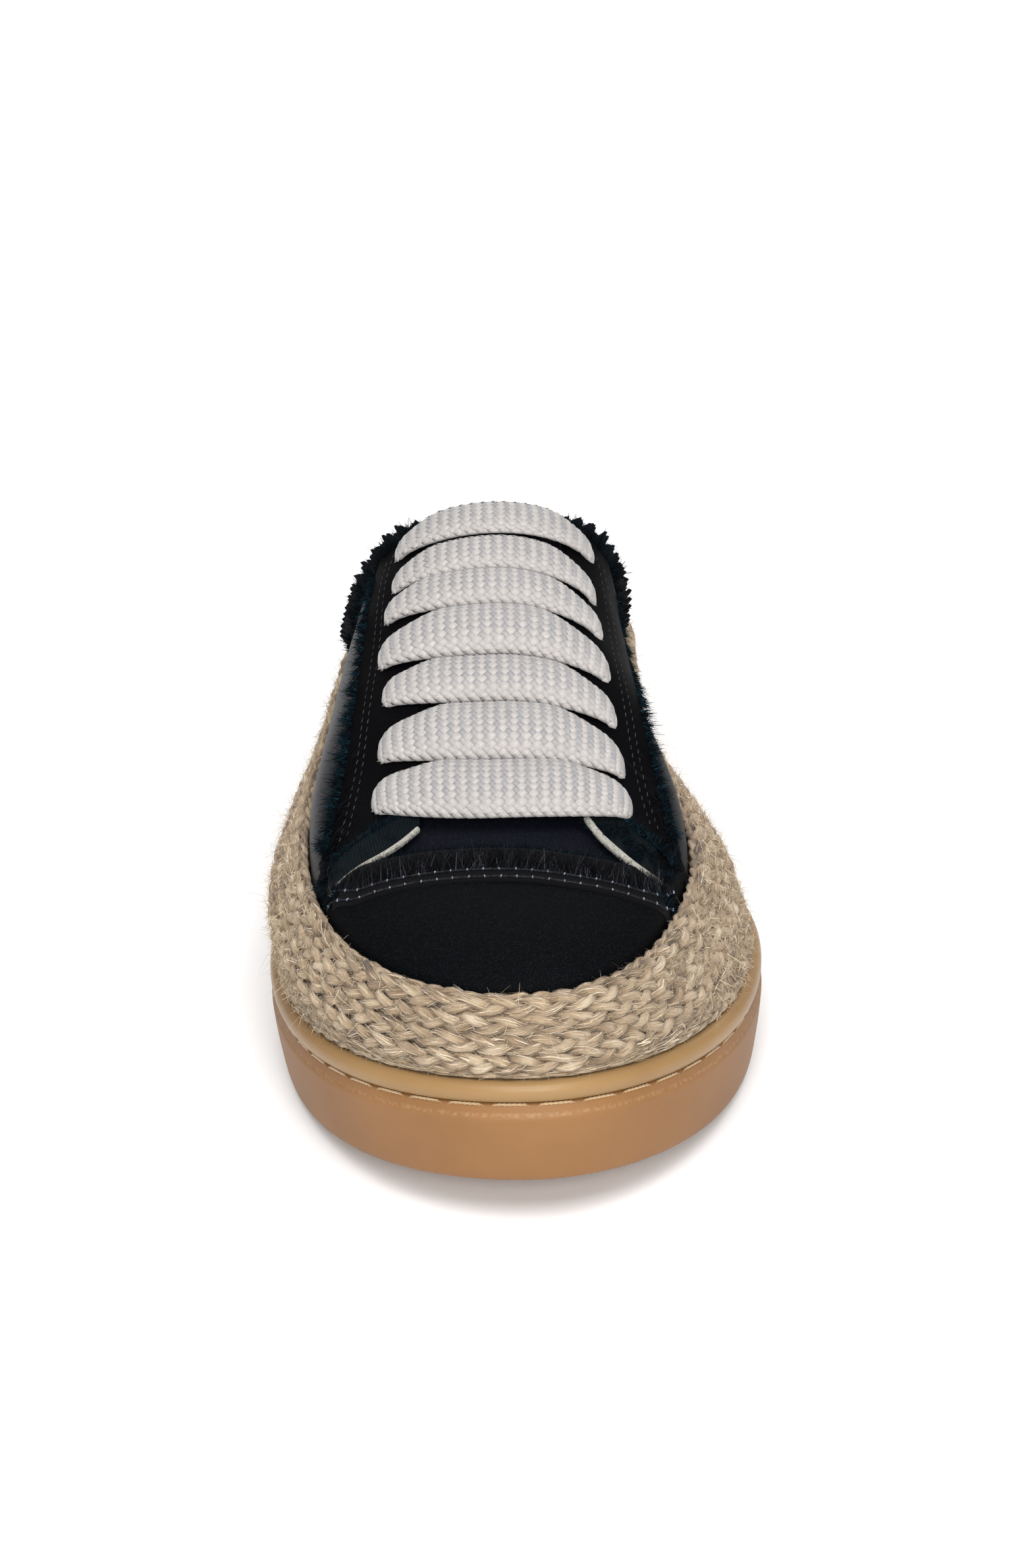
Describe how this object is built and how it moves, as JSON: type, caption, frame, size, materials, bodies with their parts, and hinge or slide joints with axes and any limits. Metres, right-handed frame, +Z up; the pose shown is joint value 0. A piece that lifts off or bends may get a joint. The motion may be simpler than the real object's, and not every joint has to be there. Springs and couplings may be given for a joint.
{
  "type": "espadrille sneaker mule",
  "caption": "Backless lace-front espadrille sneaker, right foot: black satin upper with frayed edges, jute wedge and gum rubber cup sole.",
  "frame": {"origin": "centre of the box on the floor, under the middle of the shoe", "axes": "+Z up, toe towards -Y, heel towards +Y, medial side towards +X"},
  "size_m": [0.0998, 0.272, 0.0956],
  "materials": {
    "gum_rubber": "matte",
    "gum_band": "satin",
    "jute": "matte",
    "black_satin": "satin",
    "frayed_cotton": "matte",
    "grey_cotton": "matte",
    "lining": "matte"
  },
  "bodies": {
    "root": {"outsole": "gum_rubber", "foxing_band": "gum_band", "jute_midsole": "jute", "insole": "lining", "upper": "black_satin", "tongue": "black_satin", "eyestay_lateral": "black_satin", "eyestay_medial": "black_satin", "toe_fringe": "frayed_cotton", "lace": "grey_cotton"}
  },
  "joints": []
}
